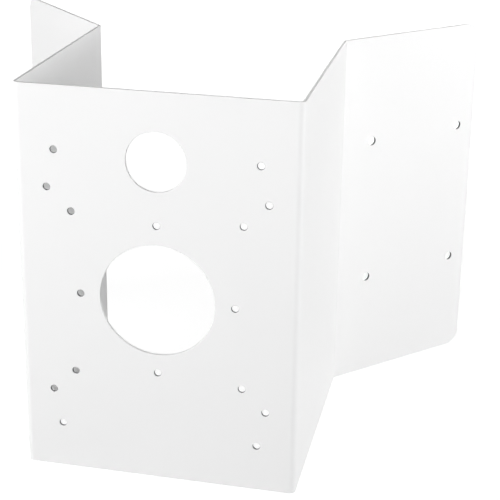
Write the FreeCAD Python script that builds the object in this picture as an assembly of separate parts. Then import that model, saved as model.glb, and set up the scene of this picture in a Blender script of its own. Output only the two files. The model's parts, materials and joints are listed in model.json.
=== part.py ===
import FreeCAD, Part
import math
import os

# A bracket that carries a camera on the outside corner of a building.
# It is one steel sheet with four folds: a flat front plate, a web that runs back from
# each side of the plate, and a wing at the end of each web that lies against a wall.
# X = 0 is the plane of symmetry, the front plate faces -Y, and +Z is up.
# The origin is the bottom centre of the bracket's box. All sizes are in mm.

# The sheet
height = 245.0
plate_width = 170.0
web_depth = 155.0
wing_length = 115.0
wing_angle = 45.0
sheet = 2.0
bend_inner_radius = 2.0
wing_corner_radius = 10.0

# The front plate: two cable holes, and tapped holes set out round the main one
main_hole_radius = 35.0
main_hole_below_middle = 4.5
upper_hole_radius = 18.0
upper_hole_rise = 85.5
tapped_hole_radius = 2.1
outer_holes_across = 122.0
outer_holes_upright = 177.0
side_holes_across = 132.0
side_holes_upright = 131.0
square_holes_apart = 103.0
ring_of_holes_diameter = 94.0
ring_of_holes_count = 4

# Each wing: four holes for the wall screws
wall_hole_radius = 3.0
wall_holes_from_edge = 14.0
wall_holes_across = 76.0
wall_holes_upright = 100.0

bend_outer_radius = bend_inner_radius + sheet
up = FreeCAD.Vector(0, 0, 1)
backward = FreeCAD.Vector(0, 1, 0)
turn = math.radians(wing_angle)
along_wing = FreeCAD.Vector(math.cos(turn), math.sin(turn), 0)
towards_wall = up.cross(along_wing)
total_depth = web_depth + wing_length * along_wing.y + sheet * towards_wall.y
front_y = -total_depth / 2
main_hole_z = height / 2 - main_hole_below_middle
snap = 0.001


def outer_corners():
    """The folds and ends of the sheet's outer skin in plan, from the left wing's tip to the right one's."""
    plate_end = FreeCAD.Vector(plate_width / 2, front_y, 0)
    web_end = plate_end + backward * web_depth
    right = [plate_end, web_end, web_end + along_wing * wing_length]
    left = [FreeCAD.Vector(-point.x, point.y, 0) for point in reversed(right)]
    return left + right


def inner_corners(outer):
    """The same folds and ends on the inner skin, one sheet thickness away from the outer one."""
    normals = [up.cross((end - start).normalize()) for start, end in zip(outer, outer[1:])]
    before = normals[:1] + normals
    after = normals + normals[-1:]
    return [
        point + (first + second) * (sheet / (1 + first.dot(second)))
        for point, first, second in zip(outer, before, after)
    ]


def stands_on(vertex, places):
    """Whether the vertex is above or below one of the given points of the plan."""
    return any(math.hypot(vertex.X - place.x, vertex.Y - place.y) < snap for place in places)


def edges_over(solid, places, upright):
    """The upright or the level edges of the solid that begin and end over the given points of the plan."""
    chosen = []
    for edge in solid.Edges:
        foot, head = edge.Vertexes[0], edge.Vertexes[-1]
        rises = abs(head.Z - foot.Z) > snap
        if rises == upright and stands_on(foot, places) and stands_on(head, places):
            chosen.append(edge)
    return chosen


def folded_sheet():
    """The sheet after folding, with its bends and with the free corners of its wings rounded."""
    outer = outer_corners()
    inner = inner_corners(outer)
    section = Part.makePolygon(outer + inner[::-1] + outer[:1])
    solid = Part.Face(section).extrude(up * height)

    plate_bends, wing_bends = (2, 3), (1, 4)
    wide_bends = [outer[i] for i in plate_bends] + [inner[i] for i in wing_bends]
    tight_bends = [inner[i] for i in plate_bends] + [outer[i] for i in wing_bends]
    solid = solid.makeFillet(bend_outer_radius, edges_over(solid, wide_bends, upright=True))
    solid = solid.makeFillet(bend_inner_radius, edges_over(solid, tight_bends, upright=True))

    tips = [outer[0], inner[0], outer[-1], inner[-1]]
    return solid.makeFillet(wing_corner_radius, edges_over(solid, tips, upright=False))


def rectangle(across, upright):
    """The four corners of a rectangle about its middle, as pairs of offsets."""
    return [(i * across / 2, j * upright / 2) for i in (-1, 1) for j in (-1, 1)]


def ring(diameter, count):
    """Evenly spaced places on a circle, the first one at its right."""
    turns = [2 * math.pi * i / count for i in range(count)]
    return [(diameter / 2 * math.cos(a), diameter / 2 * math.sin(a)) for a in turns]


def drill(centre, direction, radius):
    """A round cutter that passes through the sheet at the given place on its outer skin."""
    reach = 2 * sheet
    return Part.makeCylinder(radius, 2 * reach, centre - direction * reach, direction)


def plate_drills():
    """Cutters for the front plate: the main and upper cable holes and every tapped hole."""
    tapped = (
        rectangle(outer_holes_across, outer_holes_upright)
        + rectangle(side_holes_across, side_holes_upright)
        + rectangle(square_holes_apart, square_holes_apart)
        + ring(ring_of_holes_diameter, ring_of_holes_count)
    )
    holes = [(0, 0, main_hole_radius), (0, upper_hole_rise, upper_hole_radius)]
    holes += [(x, z, tapped_hole_radius) for x, z in tapped]
    return [
        drill(FreeCAD.Vector(x, front_y, main_hole_z + z), backward, radius)
        for x, z, radius in holes
    ]


def wing_drills():
    """Cutters for the wall screws of both wings."""
    web_end, tip = outer_corners()[-2:]
    middle = tip - along_wing * (wall_holes_from_edge + wall_holes_across / 2) + up * (height / 2)
    drills = []
    for along, rise in rectangle(wall_holes_across, wall_holes_upright):
        place = middle + along_wing * along + up * rise
        drills.append(drill(place, towards_wall, wall_hole_radius))
    mirrored = [cutter.mirror(FreeCAD.Vector(), FreeCAD.Vector(1, 0, 0)) for cutter in drills]
    return drills + mirrored


def bracket():
    """The finished bracket, one solid."""
    return folded_sheet().cut(plate_drills() + wing_drills()).Solids[0]


os.makedirs("parts", exist_ok=True)
bracket().exportStep("parts/bracket.step")
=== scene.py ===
import json
import math

import bpy
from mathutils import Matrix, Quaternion, Vector


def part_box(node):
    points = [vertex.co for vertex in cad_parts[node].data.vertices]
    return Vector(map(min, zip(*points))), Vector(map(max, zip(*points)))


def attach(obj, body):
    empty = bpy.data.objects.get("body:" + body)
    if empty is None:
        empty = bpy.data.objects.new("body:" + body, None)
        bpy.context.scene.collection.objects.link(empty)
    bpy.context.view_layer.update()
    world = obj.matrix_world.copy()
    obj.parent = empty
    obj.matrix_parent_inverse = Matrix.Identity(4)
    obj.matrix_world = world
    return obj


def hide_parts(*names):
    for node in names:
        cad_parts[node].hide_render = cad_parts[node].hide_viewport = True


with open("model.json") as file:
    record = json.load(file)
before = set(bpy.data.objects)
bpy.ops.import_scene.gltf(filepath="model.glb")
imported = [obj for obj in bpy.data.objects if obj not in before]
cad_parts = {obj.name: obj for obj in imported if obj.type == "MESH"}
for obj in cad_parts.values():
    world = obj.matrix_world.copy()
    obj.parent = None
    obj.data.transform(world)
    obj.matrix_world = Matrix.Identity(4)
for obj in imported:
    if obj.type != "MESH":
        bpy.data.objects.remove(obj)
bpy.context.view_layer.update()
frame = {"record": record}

# A white corner bracket for a camera: one folded, powder-coated sheet with cable holes, tapped holes
# and holes for wall screws. Lengths are in metres.

mm = 0.001
mounts = {mount["name"]: mount for mount in frame["record"]["mounts"]}
up = Vector((0, 0, 1))

# The folded sheet
plate_width = 170 * mm
bend_inner_radius = 2 * mm
wing_corner_radius = 10 * mm
edge_round = 0.25 * mm
bend_steps = 12
corner_steps = 12
edge_steps = 3
hole_steps = 96
# Holes narrower than this get walls of the very dark steel, which is bare steel and partly painted shade.
painted_shade_hole_radius = 5 * mm
edge_angle = math.radians(40)
flat_skin_weight = 100
# A face belongs to a hole's wall where the cosine between its normal and the hole's axis is under this.
wall_tilt = 0.5
sheet = mounts["main_cable_hole"]["dims"]["length_mm"] * mm
low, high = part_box("bracket")
height = high.z - low.z
drill_length = 4 * sheet
towards_wall = Vector(mounts["right_wall_face"]["axis"])
along_wing = towards_wall.cross(up)

# The threads of the tapped holes, M5. Each hole is cut wider than the thread's core by the thread's
# depth, and the thread stands in from there, rooted a little way into the hole's wall. The run-out is a
# share of the thread's line, at each end. The foot and the crest are shares of the pitch.
thread_pitch = 0.8 * mm
thread_depth = 0.2 * mm
thread_root = 0.06 * mm
thread_run_out = 0.2
thread_foot = 0.86
thread_crest = 0.3
thread_steps = 40

# The finishes. A texture's scale is in patches per metre.
coat_peel_scale = 620
coat_grain_scale = 2600
coat_patch_scale = 14
coat_darker = (0.884, 0.884, 0.884, 1)
coat_lighter = (0.914, 0.914, 0.914, 1)
coat_gloss = 0.38
coat_roughness = 0.4
coat_relief = 0.05 * mm
steel_mark_scale = 3500
steel_stain_scale = 900
# The steel's colours are very dark: bare steel, darkened further as painted shade in the holes' walls.
painted_shade_steel_darker = (0.07, 0.07, 0.073, 1)
painted_shade_steel_lighter = (0.21, 0.21, 0.217, 1)
steel_roughness = 0.35
steel_relief = 0.02 * mm

# The camera, at the photograph's viewing angle
camera_place = Vector((0.1983, -0.7941, 0.4355))
camera_target = Vector((0.0262, 0.0155, 0.1507))
camera_roll = math.radians(0.84)
camera_lens = 94.1
camera_shift = -0.14
camera_near = 10 * mm

# The studio: soft lamps, each as its place, its width and its power in watts
studio_middle = Vector((0, 0, 0.12))
lamps = {
    "right_lamp": (Vector((1.2, -0.05, 0.14)), 0.45, 8.05),
    "side_lamp": (Vector((0.9, 0.5, 0.35)), 0.4, 1.1),
    "front_lamp": (Vector((0.3, -1.2, 0.6)), 0.6, 7.15),
    "left_lamp": (Vector((-1.2, -0.95, 0.4)), 0.9, 15.9),
    "rear_left_lamp": (Vector((-0.35, 1.9, 0.25)), 0.8, 12.0),
    "rear_right_lamp": (Vector((0.3, 1.9, 0.25)), 0.8, 17.0),
}
ambient_level = 0.2
ambient_fall = 0.7

# The floor is white to the camera. Near the object it glows less, because the lamps add to it there.
floor_half_width = 4.0
floor_grey = (0.3, 0.3, 0.3, 1)
floor_glow_near = 0.85
floor_glow_from = 0.25
floor_glow_to = 0.9


class Wire:
    """An output socket of a node tree. Arithmetic on wires adds the tree's Math nodes."""

    def __init__(self, socket):
        self.socket = socket

    def math(self, operation, *values):
        """The wire that leaves a new Math node."""
        tree = self.socket.id_data
        return add_node(tree, "ShaderNodeMath", {"operation": operation}, dict(enumerate(values)))["Value"]

    def __add__(self, other):
        return self.math("ADD", self, other)

    def __sub__(self, other):
        return self.math("SUBTRACT", self, other)

    def __rsub__(self, other):
        return self.math("SUBTRACT", other, self)

    def __mul__(self, other):
        return self.math("MULTIPLY", self, other)

    def __truediv__(self, other):
        return self.math("DIVIDE", self, other)

    def __gt__(self, other):
        return self.math("GREATER_THAN", self, other)

    def __lt__(self, other):
        return self.math("LESS_THAN", self, other)

    def __abs__(self):
        return self.math("ABSOLUTE", self)

    __radd__ = __add__
    __rmul__ = __mul__


def add_node(tree, kind, settings=None, sockets=None):
    """Adds a node: its settings first, then its sockets' values or links. Returns its outputs by name."""
    node = tree.nodes.new(kind)
    for name, value in (settings or {}).items():
        setattr(node, name, value)
    usable = [socket for socket in node.inputs if socket.enabled]
    by_name = {socket.name: socket for socket in reversed(usable)}
    for key, value in (sockets or {}).items():
        socket = usable[key] if isinstance(key, int) else by_name[key]
        if isinstance(value, Wire):
            tree.links.new(value.socket, socket)
        else:
            socket.default_value = value
    return {socket.name: Wire(socket) for socket in node.outputs if socket.enabled}


def new_shader(name, kind="materials"):
    """A material or world with an empty node tree."""
    block = getattr(bpy.data, kind).new(name)
    block.use_nodes = True
    block.node_tree.nodes.clear()
    return block, block.node_tree


def noise(tree, scale, detail, roughness):
    """A texture of soft patches over the piece, from 0 to 1."""
    place = add_node(tree, "ShaderNodeTexCoord")["Object"]
    return add_node(
        tree,
        "ShaderNodeTexNoise",
        sockets={"Vector": place, "Scale": scale, "Detail": detail, "Roughness": roughness},
    )["Fac"]


def mixed_colour(tree, share, darker, lighter):
    """A colour between two, by a texture."""
    return add_node(
        tree, "ShaderNodeMix", {"data_type": "RGBA"}, {"Factor": share, "A": darker, "B": lighter}
    )["Result"]


def bumps(tree, relief, strength, depth):
    """The surface's normal, with a fine relief from a texture."""
    return add_node(
        tree, "ShaderNodeBump", sockets={"Height": relief, "Strength": strength, "Distance": depth}
    )["Normal"]


def finish_surface(tree, sockets):
    """Ends a material with one Principled surface."""
    surface = add_node(tree, "ShaderNodeBsdfPrincipled", sockets=sockets)["BSDF"]
    add_node(tree, "ShaderNodeOutputMaterial", sockets={"Surface": surface})


def powder_coat():
    """White powder coat: low gloss, with the fine orange peel of the baked coat and slightly uneven."""
    material, tree = new_shader("white_powder_coat")
    peel = noise(tree, coat_peel_scale, 2, 0.45)
    grain = noise(tree, coat_grain_scale, 3, 0.6)
    patches = noise(tree, coat_patch_scale, 3, 0.5)
    finish_surface(
        tree,
        {
            "Base Color": mixed_colour(tree, patches * 0.75 + grain * 0.25, coat_darker, coat_lighter),
            "Roughness": patches * 0.06 + grain * 0.08 + coat_roughness,
            "Specular IOR Level": coat_gloss,
            "Normal": bumps(tree, peel * 0.8 + grain * 0.2, 0.35, coat_relief),
        },
    )
    return material


def bare_steel_with_painted_shade():
    """Uncoated steel in screw holes: dull, with fine tool marks, and very dark, partly as painted shade.
    """
    material, tree = new_shader("bare_cut_steel")
    marks = noise(tree, steel_mark_scale, 3, 0.6)
    stains = noise(tree, steel_stain_scale, 2, 0.5)
    finish_surface(
        tree,
        {
            "Base Color": mixed_colour(tree, stains, painted_shade_steel_darker, painted_shade_steel_lighter),
            "Metallic": 1,
            "Roughness": marks * 0.2 + steel_roughness,
            "Normal": bumps(tree, marks, 0.3, steel_relief),
        },
    )
    return material


def seen_directly(tree):
    """1 for rays that come from the camera or by way of a gloss or a transparent surface, else 0."""
    path = add_node(tree, "ShaderNodeLightPath")
    return path["Is Camera Ray"] + path["Is Glossy Ray"] + path["Is Transmission Ray"]


def white_world():
    """A world that looks white and lights the object with a plain soft level, less from straight above."""
    world, tree = new_shader("studio_world", "worlds")
    direction = add_node(tree, "ShaderNodeTexCoord")["Generated"]
    rise = add_node(tree, "ShaderNodeSeparateXYZ", sockets={"Vector": direction})["Z"]
    level = (1 - rise.math("MAXIMUM", rise, 0) * ambient_fall) * ambient_level
    seen = seen_directly(tree)
    strength = seen + (1 - seen) * level
    light = add_node(tree, "ShaderNodeBackground", sockets={"Color": (1, 1, 1, 1), "Strength": strength})
    add_node(tree, "ShaderNodeOutputWorld", sockets={"Surface": light["Background"]})
    bpy.context.scene.world = world


def pale_floor():
    """A plain pale floor that keeps the object's shadow and is white around it, out to the horizon."""
    material, tree = new_shader("pale_floor")
    matt = add_node(tree, "ShaderNodeBsdfDiffuse", sockets={"Color": floor_grey})["BSDF"]
    place = add_node(tree, "ShaderNodeTexCoord")["Object"]
    away = add_node(tree, "ShaderNodeVectorMath", {"operation": "LENGTH"}, {"Vector": place})["Value"]
    level = add_node(
        tree,
        "ShaderNodeMapRange",
        {"interpolation_type": "SMOOTHSTEP"},
        {
            "Value": away,
            "From Min": floor_glow_from,
            "From Max": floor_glow_to,
            "To Min": floor_glow_near,
            "To Max": 1,
        },
    )["Result"]
    glow = add_node(
        tree,
        "ShaderNodeEmission",
        sockets={"Color": (1, 1, 1, 1), "Strength": seen_directly(tree) * level},
    )["Emission"]
    surface = add_node(tree, "ShaderNodeAddShader", sockets={0: matt, 1: glow})["Shader"]
    add_node(tree, "ShaderNodeOutputMaterial", sockets={"Surface": surface})

    corners = [(-1, -1), (1, -1), (1, 1), (-1, 1)]
    mesh = bpy.data.meshes.new("floor")
    mesh.from_pydata([(x * floor_half_width, y * floor_half_width, 0) for x, y in corners], [], [range(4)])
    mesh.materials.append(material)
    floor = bpy.data.objects.new("floor", mesh)
    bpy.context.collection.objects.link(floor)


def studio_lamps():
    """Large soft lamps that all face the object."""
    for name, (place, size, power) in lamps.items():
        lamp = bpy.data.lights.new(name, "AREA")
        lamp.shape = "DISK"
        lamp.size = size
        lamp.energy = power
        holder = bpy.data.objects.new(name, lamp)
        holder.location = place
        holder.rotation_euler = (studio_middle - place).to_track_quat("-Z", "Y").to_euler()
        bpy.context.collection.objects.link(holder)


def photo_camera():
    """The camera of the photograph."""
    camera = bpy.data.cameras.new("camera")
    camera.lens = camera_lens
    camera.shift_y = camera_shift
    camera.clip_start = camera_near
    holder = bpy.data.objects.new("camera", camera)
    holder.location = camera_place
    facing = (camera_target - camera_place).to_track_quat("-Z", "Y")
    holder.rotation_euler = (facing @ Quaternion((0, 0, 1), camera_roll)).to_euler()
    bpy.context.collection.objects.link(holder)
    bpy.context.scene.camera = holder


def new_geometry_tree(name, inputs):
    """A Geometry Nodes tree with named inputs. Returns the tree and the inputs as wires."""
    kinds = {
        float: "NodeSocketFloat",
        int: "NodeSocketInt",
        bpy.types.Material: "NodeSocketMaterial",
        bpy.types.Object: "NodeSocketObject",
    }
    tree = bpy.data.node_groups.new(name, "GeometryNodeTree")
    tree.interface.new_socket("Geometry", in_out="INPUT", socket_type="NodeSocketGeometry")
    for label, value in inputs.items():
        tree.interface.new_socket(label, in_out="INPUT", socket_type=kinds[type(value)])
    tree.interface.new_socket("Geometry", in_out="OUTPUT", socket_type="NodeSocketGeometry")
    return tree, add_node(tree, "NodeGroupInput")


def run_tree(holder, tree, inputs):
    """Puts a tree on an object as a modifier, with its inputs set."""
    modifier = holder.modifiers.new(tree.name, "NODES")
    modifier.node_group = tree
    for socket in tree.interface.items_tree:
        if socket.name in inputs:
            modifier[socket.identifier] = inputs[socket.name]


def finished_piece(holder, name):
    """A plain mesh object made from what an object's modifiers give. The first object is removed."""
    depsgraph = bpy.context.evaluated_depsgraph_get()
    mesh = bpy.data.meshes.new_from_object(holder.evaluated_get(depsgraph))
    mesh.name = name
    bpy.data.objects.remove(holder)
    piece = bpy.data.objects.new(name, mesh)
    bpy.context.collection.objects.link(piece)
    return piece


def plan_of_sheet():
    """The corners of the sheet's middle line in plan, from the left wing's tip to the right one's."""
    plate_end = Vector((plate_width / 2, low.y, 0))
    tip = Vector((high.x, high.y, 0)) - towards_wall.project(Vector((0, 1, 0))) * sheet
    wing = along_wing * ((tip.x - plate_end.x) / along_wing.x)
    web_end = tip - wing
    right = [plate_end, web_end, tip]
    outer = [Vector((-p.x, p.y, 0)) for p in reversed(right)] + right
    normals = [up.cross((b - a).normalized()) for a, b in zip(outer, outer[1:])]
    before, after = normals[:1] + normals, normals + normals[-1:]
    return [
        point + (first + second) * (sheet / 2 / (1 + first.dot(second)))
        for point, first, second in zip(outer, before, after)
    ]


def hole_places(mount):
    """The middles of a mount's holes: one bore, a rectangle of holes, or holes spread round a circle."""
    middle, axis, dims = Vector(mount["pos_m"]), Vector(mount["axis"]), mount["dims"]
    across = up.cross(axis)
    if "spacing_x_mm" in dims:
        wide, tall = dims["spacing_x_mm"] * mm / 2, dims["spacing_y_mm"] * mm / 2
        return [middle + across * (i * wide) + up * (j * tall) for i in (-1, 1) for j in (-1, 1)]
    if "pcd_mm" in dims:
        radius, count = dims["pcd_mm"] * mm / 2, dims["count"]
        turns = [2 * math.pi * i / count for i in range(count)]
        return [middle + across * (radius * math.sin(a)) + up * (radius * math.cos(a)) for a in turns]
    return [middle]


def plan_object(name, points, edges=(), axes=None, radii=None):
    """An object of points and edges for a Geometry Nodes tree. Its points can carry axes and radii."""
    mesh = bpy.data.meshes.new(name)
    mesh.from_pydata(points, edges, [])
    if axes:
        attribute = mesh.attributes.new("axis", "FLOAT_VECTOR", "POINT")
        attribute.data.foreach_set("vector", [x for axis in axes for x in axis])
    if radii:
        mesh.attributes.new("radius", "FLOAT", "POINT").data.foreach_set("value", radii)
    holder = bpy.data.objects.new(name, mesh)
    bpy.context.collection.objects.link(holder)
    return holder


def point_value(tree, name, kind):
    """A value that the points of a plan carry."""
    return add_node(
        tree, "GeometryNodeInputNamedAttribute", {"data_type": kind}, {"Name": name}
    )["Attribute"]


def turned_to_axis(tree):
    """The rotation that stands an instance along its point's axis."""
    axis = point_value(tree, "axis", "FLOAT_VECTOR")
    return add_node(tree, "FunctionNodeAlignRotationToVector", {"axis": "Z"}, {"Vector": axis})["Rotation"]


def vector_math(tree, operation, values):
    """The outputs of a new Vector Math node."""
    return add_node(tree, "ShaderNodeVectorMath", {"operation": operation}, values)


def realized(tree, geometry, material, selection=True):
    """The geometry without instances, and with a material on the selected faces."""
    whole = add_node(tree, "GeometryNodeRealizeInstances", sockets={"Geometry": geometry})["Geometry"]
    return add_node(
        tree,
        "GeometryNodeSetMaterial",
        sockets={"Geometry": whole, "Selection": selection, "Material": material},
    )["Geometry"]


def bend_sheet_tree(inputs):
    """Sweeps the sheet's section along its plan, and marks the short edges at its tips for rounding."""
    tree, given = new_geometry_tree("bend_sheet", inputs)
    path = add_node(tree, "GeometryNodeMeshToCurve", sockets={"Mesh": given["Geometry"]})["Curve"]
    path = add_node(
        tree,
        "GeometryNodeFilletCurve",
        {"mode": "POLY"},
        {"Curve": path, "Radius": given["Bend Radius"], "Count": given["Bend Steps"]},
    )["Curve"]
    path = add_node(tree, "GeometryNodeSetCurveNormal", {"mode": "Z_UP"}, {"Curve": path})["Curve"]
    section = add_node(
        tree,
        "GeometryNodeCurvePrimitiveQuadrilateral",
        sockets={"Width": given["Sheet"], "Height": given["Height"]},
    )["Curve"]
    swept = add_node(
        tree,
        "GeometryNodeCurveToMesh",
        sockets={"Curve": path, "Profile Curve": section, "Fill Caps": True},
    )["Mesh"]
    weight = short_edge_at_tip(tree, swept, given["Sheet"])
    marked = add_node(
        tree,
        "GeometryNodeStoreNamedAttribute",
        {"data_type": "FLOAT", "domain": "EDGE"},
        {"Geometry": swept, "Name": "bevel_weight_edge", "Value": weight},
    )["Geometry"]
    add_node(tree, "NodeGroupOutput", sockets={"Geometry": realized(tree, marked, given["Coat"])})
    return tree


def short_edge_at_tip(tree, swept, sheet_thickness):
    """1 for an edge through the sheet's thickness at a wing's tip, else 0."""
    ends = add_node(tree, "GeometryNodeInputMeshEdgeVertices")
    span = vector_math(tree, "DISTANCE", {0: ends["Position 1"], 1: ends["Position 2"]})["Value"]
    tip = add_node(tree, "GeometryNodeBoundBox", sockets={"Geometry": swept})["Max"]
    tip_x = add_node(tree, "ShaderNodeSeparateXYZ", sockets={"Vector": tip})["X"]
    place = add_node(tree, "GeometryNodeInputPosition")["Position"]
    place_x = add_node(tree, "ShaderNodeSeparateXYZ", sockets={"Vector": place})["X"]
    return (abs(place_x) > tip_x - sheet_thickness) * (span < sheet_thickness * 2)


def drill_holes_tree(inputs):
    """Cuts a round hole through the sheet at each point of its plan. Narrow ones get bare steel walls,
    dark as painted shade.
    """
    tree, given = new_geometry_tree("drill_holes", inputs)
    plan = add_node(tree, "GeometryNodeObjectInfo", sockets={"Object": given["Hole Plan"]})["Geometry"]
    radius = point_value(tree, "radius", "FLOAT")
    size = add_node(tree, "ShaderNodeCombineXYZ", sockets={"X": radius, "Y": radius, "Z": 1})["Vector"]
    drill = add_node(
        tree,
        "GeometryNodeMeshCylinder",
        sockets={"Vertices": given["Hole Steps"], "Radius": 1, "Depth": given["Drill Length"]},
    )["Mesh"]
    drills = add_node(
        tree,
        "GeometryNodeInstanceOnPoints",
        sockets={"Points": plan, "Instance": drill, "Rotation": turned_to_axis(tree), "Scale": size},
    )["Instances"]
    drilled = add_node(
        tree,
        "GeometryNodeMeshBoolean",
        {"operation": "DIFFERENCE", "solver": "EXACT"},
        {"Mesh 1": given["Geometry"], "Mesh 2": realized(tree, drills, given["Coat"])},
    )["Mesh"]
    smooth = add_node(tree, "GeometryNodeSetShadeSmooth", sockets={"Geometry": drilled})["Geometry"]
    # The walls of narrow holes get the very dark steel: bare steel, with painted shade in the holes.
    bare_walls_with_painted_shade = inside_narrow_hole(tree, plan, given["Painted Shade Below"])
    finished = realized(tree, smooth, given["Bare Steel With Painted Shade"], bare_walls_with_painted_shade)
    add_node(tree, "NodeGroupOutput", sockets={"Geometry": finished})
    return tree


def inside_narrow_hole(tree, plan, widest_radius):
    """1 for a face on the wall of a hole that is no wider than the given radius, else 0."""
    nearest = add_node(tree, "GeometryNodeSampleNearest", sockets={"Geometry": plan})["Index"]
    place = add_node(tree, "GeometryNodeInputPosition")["Position"]
    middle = sampled(tree, plan, place, nearest)
    axis = sampled(tree, plan, point_value(tree, "axis", "FLOAT_VECTOR"), nearest)
    facing = add_node(tree, "GeometryNodeInputNormal")["Normal"]
    along_axis = vector_math(tree, "DOT_PRODUCT", {0: facing, 1: axis})["Value"]
    from_middle = vector_math(tree, "SUBTRACT", {0: place, 1: middle})["Vector"]
    across = vector_math(tree, "CROSS_PRODUCT", {0: from_middle, 1: axis})["Vector"]
    from_axis = vector_math(tree, "LENGTH", {"Vector": across})["Value"]
    return (abs(along_axis) < wall_tilt) * (from_axis < widest_radius)


def sampled(tree, plan, value, index):
    """A vector of one point of the plan."""
    return add_node(
        tree,
        "GeometryNodeSampleIndex",
        {"data_type": "FLOAT_VECTOR"},
        {"Geometry": plan, "Value": value, "Index": index},
    )["Value"]


def threads_tree(inputs):
    """A right-handed ridge in each tapped hole, which runs out into the hole's wall at both ends."""
    tree, given = new_geometry_tree("threads", inputs)
    helix = add_node(
        tree,
        "GeometryNodeCurveSpiral",
        sockets={
            "Resolution": given["Steps"],
            "Rotations": given["Length"] / given["Pitch"],
            "Start Radius": given["Radius"],
            "End Radius": given["Radius"],
            "Height": given["Length"],
            "Reverse": True,
        },
    )["Curve"]
    helix = add_node(
        tree,
        "GeometryNodeSetPosition",
        sockets={"Geometry": helix, "Offset": run_out(tree, given["Run Out"], given["Depth"])},
    )["Geometry"]
    helix = add_node(tree, "GeometryNodeSetCurveNormal", {"mode": "Z_UP"}, {"Curve": helix})["Curve"]
    profile = add_node(
        tree,
        "GeometryNodeCurvePrimitiveQuadrilateral",
        {"mode": "TRAPEZOID"},
        {
            "Height": given["Depth"],
            "Bottom Width": given["Foot Width"],
            "Top Width": given["Crest Width"],
            "Offset": 0,
        },
    )["Curve"]
    profile = add_node(
        tree,
        "GeometryNodeTransform",
        sockets={"Geometry": profile, "Rotation": (0, 0, math.pi / 2)},
    )["Geometry"]
    ridge = add_node(
        tree,
        "GeometryNodeCurveToMesh",
        sockets={"Curve": helix, "Profile Curve": profile, "Fill Caps": True},
    )["Mesh"]
    down = add_node(tree, "ShaderNodeCombineXYZ", sockets={"Z": given["Length"] * -0.5})["Vector"]
    centred = add_node(
        tree, "GeometryNodeTransform", sockets={"Geometry": ridge, "Translation": down}
    )["Geometry"]
    ridges = add_node(
        tree,
        "GeometryNodeInstanceOnPoints",
        sockets={"Points": given["Geometry"], "Instance": centred, "Rotation": turned_to_axis(tree)},
    )["Instances"]
    add_node(tree, "NodeGroupOutput", sockets={"Geometry": realized(tree, ridges, given["Material"])})
    return tree


def run_out(tree, share, depth):
    """How a thread's line moves outwards: by the whole depth at its ends, and not at all between them."""
    along = add_node(tree, "GeometryNodeSplineParameter")["Factor"]
    to_end = along.math("MINIMUM", along, 1 - along)
    sunk = add_node(
        tree,
        "ShaderNodeMapRange",
        sockets={"Value": to_end, "From Min": 0, "From Max": share, "To Min": depth, "To Max": 0},
    )["Result"]
    place = add_node(tree, "GeometryNodeInputPosition")["Position"]
    level = vector_math(tree, "MULTIPLY", {0: place, 1: (1, 1, 0)})["Vector"]
    outwards = vector_math(tree, "NORMALIZE", {0: level})["Vector"]
    return vector_math(tree, "SCALE", {"Vector": outwards, "Scale": sunk})["Vector"]


def ease(holder, width, segments, **settings):
    """A Bevel modifier of the given width."""
    bevel = holder.modifiers.new("eased", "BEVEL")
    bevel.offset_type = "OFFSET"
    bevel.width = width
    bevel.segments = segments
    for name, value in settings.items():
        setattr(bevel, name, value)


def bent_sheet(coat):
    """The sheet, bent along its plan and with the corners of its wings rounded."""
    plan = [point + up * (low.z + height / 2) for point in plan_of_sheet()]
    holder = plan_object("bracket_plan", plan, [(i, i + 1) for i in range(len(plan) - 1)])
    holder.data.materials.append(coat)
    inputs = {
        "Height": height,
        "Sheet": sheet,
        "Bend Radius": bend_inner_radius + sheet / 2,
        "Bend Steps": bend_steps,
        "Coat": coat,
    }
    run_tree(holder, bend_sheet_tree(inputs), inputs)
    ease(holder, wing_corner_radius, corner_steps, limit_method="WEIGHT")
    return holder


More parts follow.
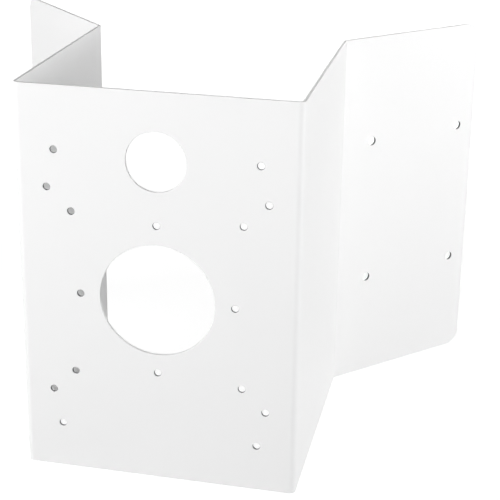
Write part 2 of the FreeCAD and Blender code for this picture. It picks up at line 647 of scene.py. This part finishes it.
def bracket_piece(coat, hole_steel_with_painted_shade):
    """The bracket: the bent sheet with its holes cut and its edges eased."""
    holder = bent_sheet(coat)
    holes = [(place, mount) for mount in mounts.values() if mount["dims"] for place in hole_places(mount)]
    plan = plan_object(
        "hole_plan",
        [place for place, _ in holes],
        axes=[mount["axis"] for _, mount in holes],
        radii=[hole_radius(mount) for _, mount in holes],
    )
    inputs = {
        "Hole Plan": plan,
        "Drill Length": drill_length,
        "Hole Steps": hole_steps,
        "Painted Shade Below": painted_shade_hole_radius,
        "Coat": coat,
        "Bare Steel With Painted Shade": hole_steel_with_painted_shade,
    }
    run_tree(holder, drill_holes_tree(inputs), inputs)
    ease(
        holder,
        edge_round,
        edge_steps,
        limit_method="ANGLE",
        angle_limit=edge_angle,
        use_clamp_overlap=False,
        material=0,
    )
    weights = holder.modifiers.new("flat_skins", "WEIGHTED_NORMAL")
    weights.mode = "FACE_AREA"
    weights.weight = flat_skin_weight
    piece = finished_piece(holder, "folded_sheet")
    bpy.data.objects.remove(plan)
    return piece


def hole_radius(mount):
    """The radius that a mount's holes are cut to, which leaves room for the thread in a tapped one."""
    dims = mount["dims"]
    if "tapped" in mount["name"]:
        return dims["hole_r_mm"] * mm + thread_depth
    return dims.get("r_mm", dims.get("hole_r_mm")) * mm


def thread_piece(hole_steel_with_painted_shade):
    """The threads of all the tapped holes."""
    tapped = [mount for mount in mounts.values() if "tapped" in mount["name"]]
    half_sheet = Vector((0, sheet / 2, 0))
    holes = [(place + half_sheet, mount["axis"]) for mount in tapped for place in hole_places(mount)]
    holder = plan_object("thread_plan", [place for place, _ in holes], axes=[axis for _, axis in holes])
    core_radius = tapped[0]["dims"]["hole_r_mm"] * mm
    ridge = thread_depth + thread_root
    inputs = {
        "Radius": core_radius + ridge / 2,
        "Depth": ridge,
        "Pitch": thread_pitch,
        "Foot Width": thread_foot * thread_pitch,
        "Crest Width": thread_crest * thread_pitch,
        "Length": sheet - thread_pitch,
        "Run Out": thread_run_out,
        "Steps": thread_steps,
        "Material": hole_steel_with_painted_shade,
    }
    run_tree(holder, threads_tree(inputs), inputs)
    return finished_piece(holder, "threads")


bpy.context.scene.view_settings.view_transform = "Standard"
photo_camera()
studio_lamps()
white_world()
pale_floor()
coat = powder_coat()
hole_steel_with_painted_shade = bare_steel_with_painted_shade()

bracket = bracket_piece(coat, hole_steel_with_painted_shade)
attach(bracket, "root")
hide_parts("bracket")
threads = thread_piece(hole_steel_with_painted_shade)
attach(threads, "root")
